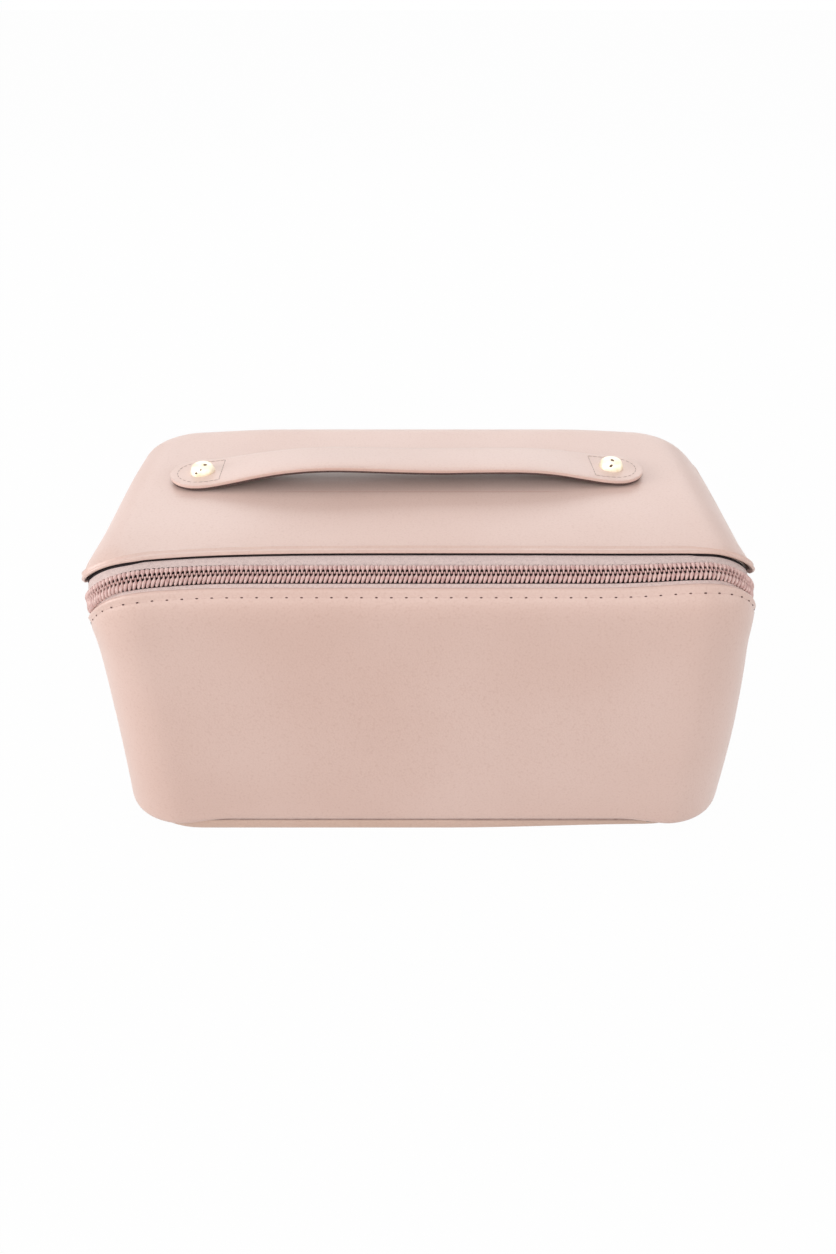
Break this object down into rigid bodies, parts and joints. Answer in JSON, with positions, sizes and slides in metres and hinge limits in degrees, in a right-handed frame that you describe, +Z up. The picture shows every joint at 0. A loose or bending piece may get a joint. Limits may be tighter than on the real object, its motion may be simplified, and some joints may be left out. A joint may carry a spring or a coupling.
{
  "type": "makeup train case",
  "caption": "Soft rectangular make-up train case with a zipped fold-back lid, strap handle, brush tray with dust flap, and movable dividers.",
  "frame": {"origin": "centre of the case's plan at the underside of the base", "axes": "+X to the right along the case's length, +Y to the back, where the lid folds, +Z up"},
  "size_m": [0.2313, 0.1328, 0.1194],
  "materials": {
    "leather": "fine grain, matt",
    "lining": "woven polyester",
    "foam": "closed foam",
    "board": "grey fibreboard",
    "tape": "woven tape",
    "coil": "moulded nylon coil",
    "gold": "polished, pale",
    "clear": "clear sheet",
    "hook": "hook and loop",
    "elastic": "woven elastic"
  },
  "bodies": {
    "tub": {"tub_cover": "leather", "tub_foam": "foam", "tub_lining": "lining", "mouth_binding": "leather", "base_panel": "leather", "base_board": "board", "back_fold_lower": "leather", "zip_tape_lower": "tape", "zip_coil_lower": "coil", "zip_end_stops": "gold"},
    "lid": {"lid_cover": "leather", "lid_foam": "foam", "lid_lining": "lining", "lid_rim": "leather", "lid_binding": "leather", "back_fold_upper": "leather", "zip_tape_upper": "tape", "zip_coil_upper": "coil", "handle_strap": "leather", "handle_backing": "leather", "handle_studs": "gold", "stud_washers": "gold", "brush_board": "lining", "brush_loops": "elastic", "flap_rail_front": "leather", "flap_rail_back": "leather", "flap_loop_tape": "hook"},
    "flap": {"dust_flap": "clear", "flap_binding": "leather", "flap_hook_tape": "hook"},
    "front_slider": {"slider_front": "gold"},
    "back_slider": {"slider_back": "gold"},
    "front_pull": {"pull_front": "gold"},
    "back_pull": {"pull_back": "gold"},
    "left_divider": {"divider_left": "lining", "divider_hooks_left": "hook"},
    "right_divider": {"divider_right": "lining", "divider_hooks_right": "hook"}
  },
  "joints": [
    {"name": "lid_hinge", "type": "hinge", "parent": "tub", "child": "lid", "pos_m": [0, 0.0668, 0.088], "axis": [-1, 0, 0], "range_deg": [0, 115]},
    {"name": "flap_hinge", "type": "hinge", "parent": "lid", "child": "flap", "pos_m": [0, -0.0373, 0.0942], "axis": [-1, 0, 0], "range_deg": [0, 70]},
    {"name": "front_slider_run", "type": "slide", "parent": "tub", "child": "front_slider", "axis": [0, -1, 0], "range_m": [0, 0.042]},
    {"name": "back_slider_run", "type": "slide", "parent": "tub", "child": "back_slider", "axis": [0, 1, 0], "range_m": [0, 0.014]},
    {"name": "front_pull_swing", "type": "hinge", "parent": "front_slider", "child": "front_pull", "pos_m": [0.1157, 0.00725, 0.088], "axis": [0, 0, 1], "range_deg": [0, 100]},
    {"name": "back_pull_swing", "type": "hinge", "parent": "back_slider", "child": "back_pull", "pos_m": [0.1157, 0.02075, 0.088], "axis": [0, 0, -1], "range_deg": [0, 100]},
    {"name": "left_divider_slide", "type": "slide", "parent": "tub", "child": "left_divider", "axis": [1, 0, 0], "range_m": [0, 0.06]},
    {"name": "right_divider_slide", "type": "slide", "parent": "tub", "child": "right_divider", "axis": [-1, 0, 0], "range_m": [0, 0.06]}
  ]
}
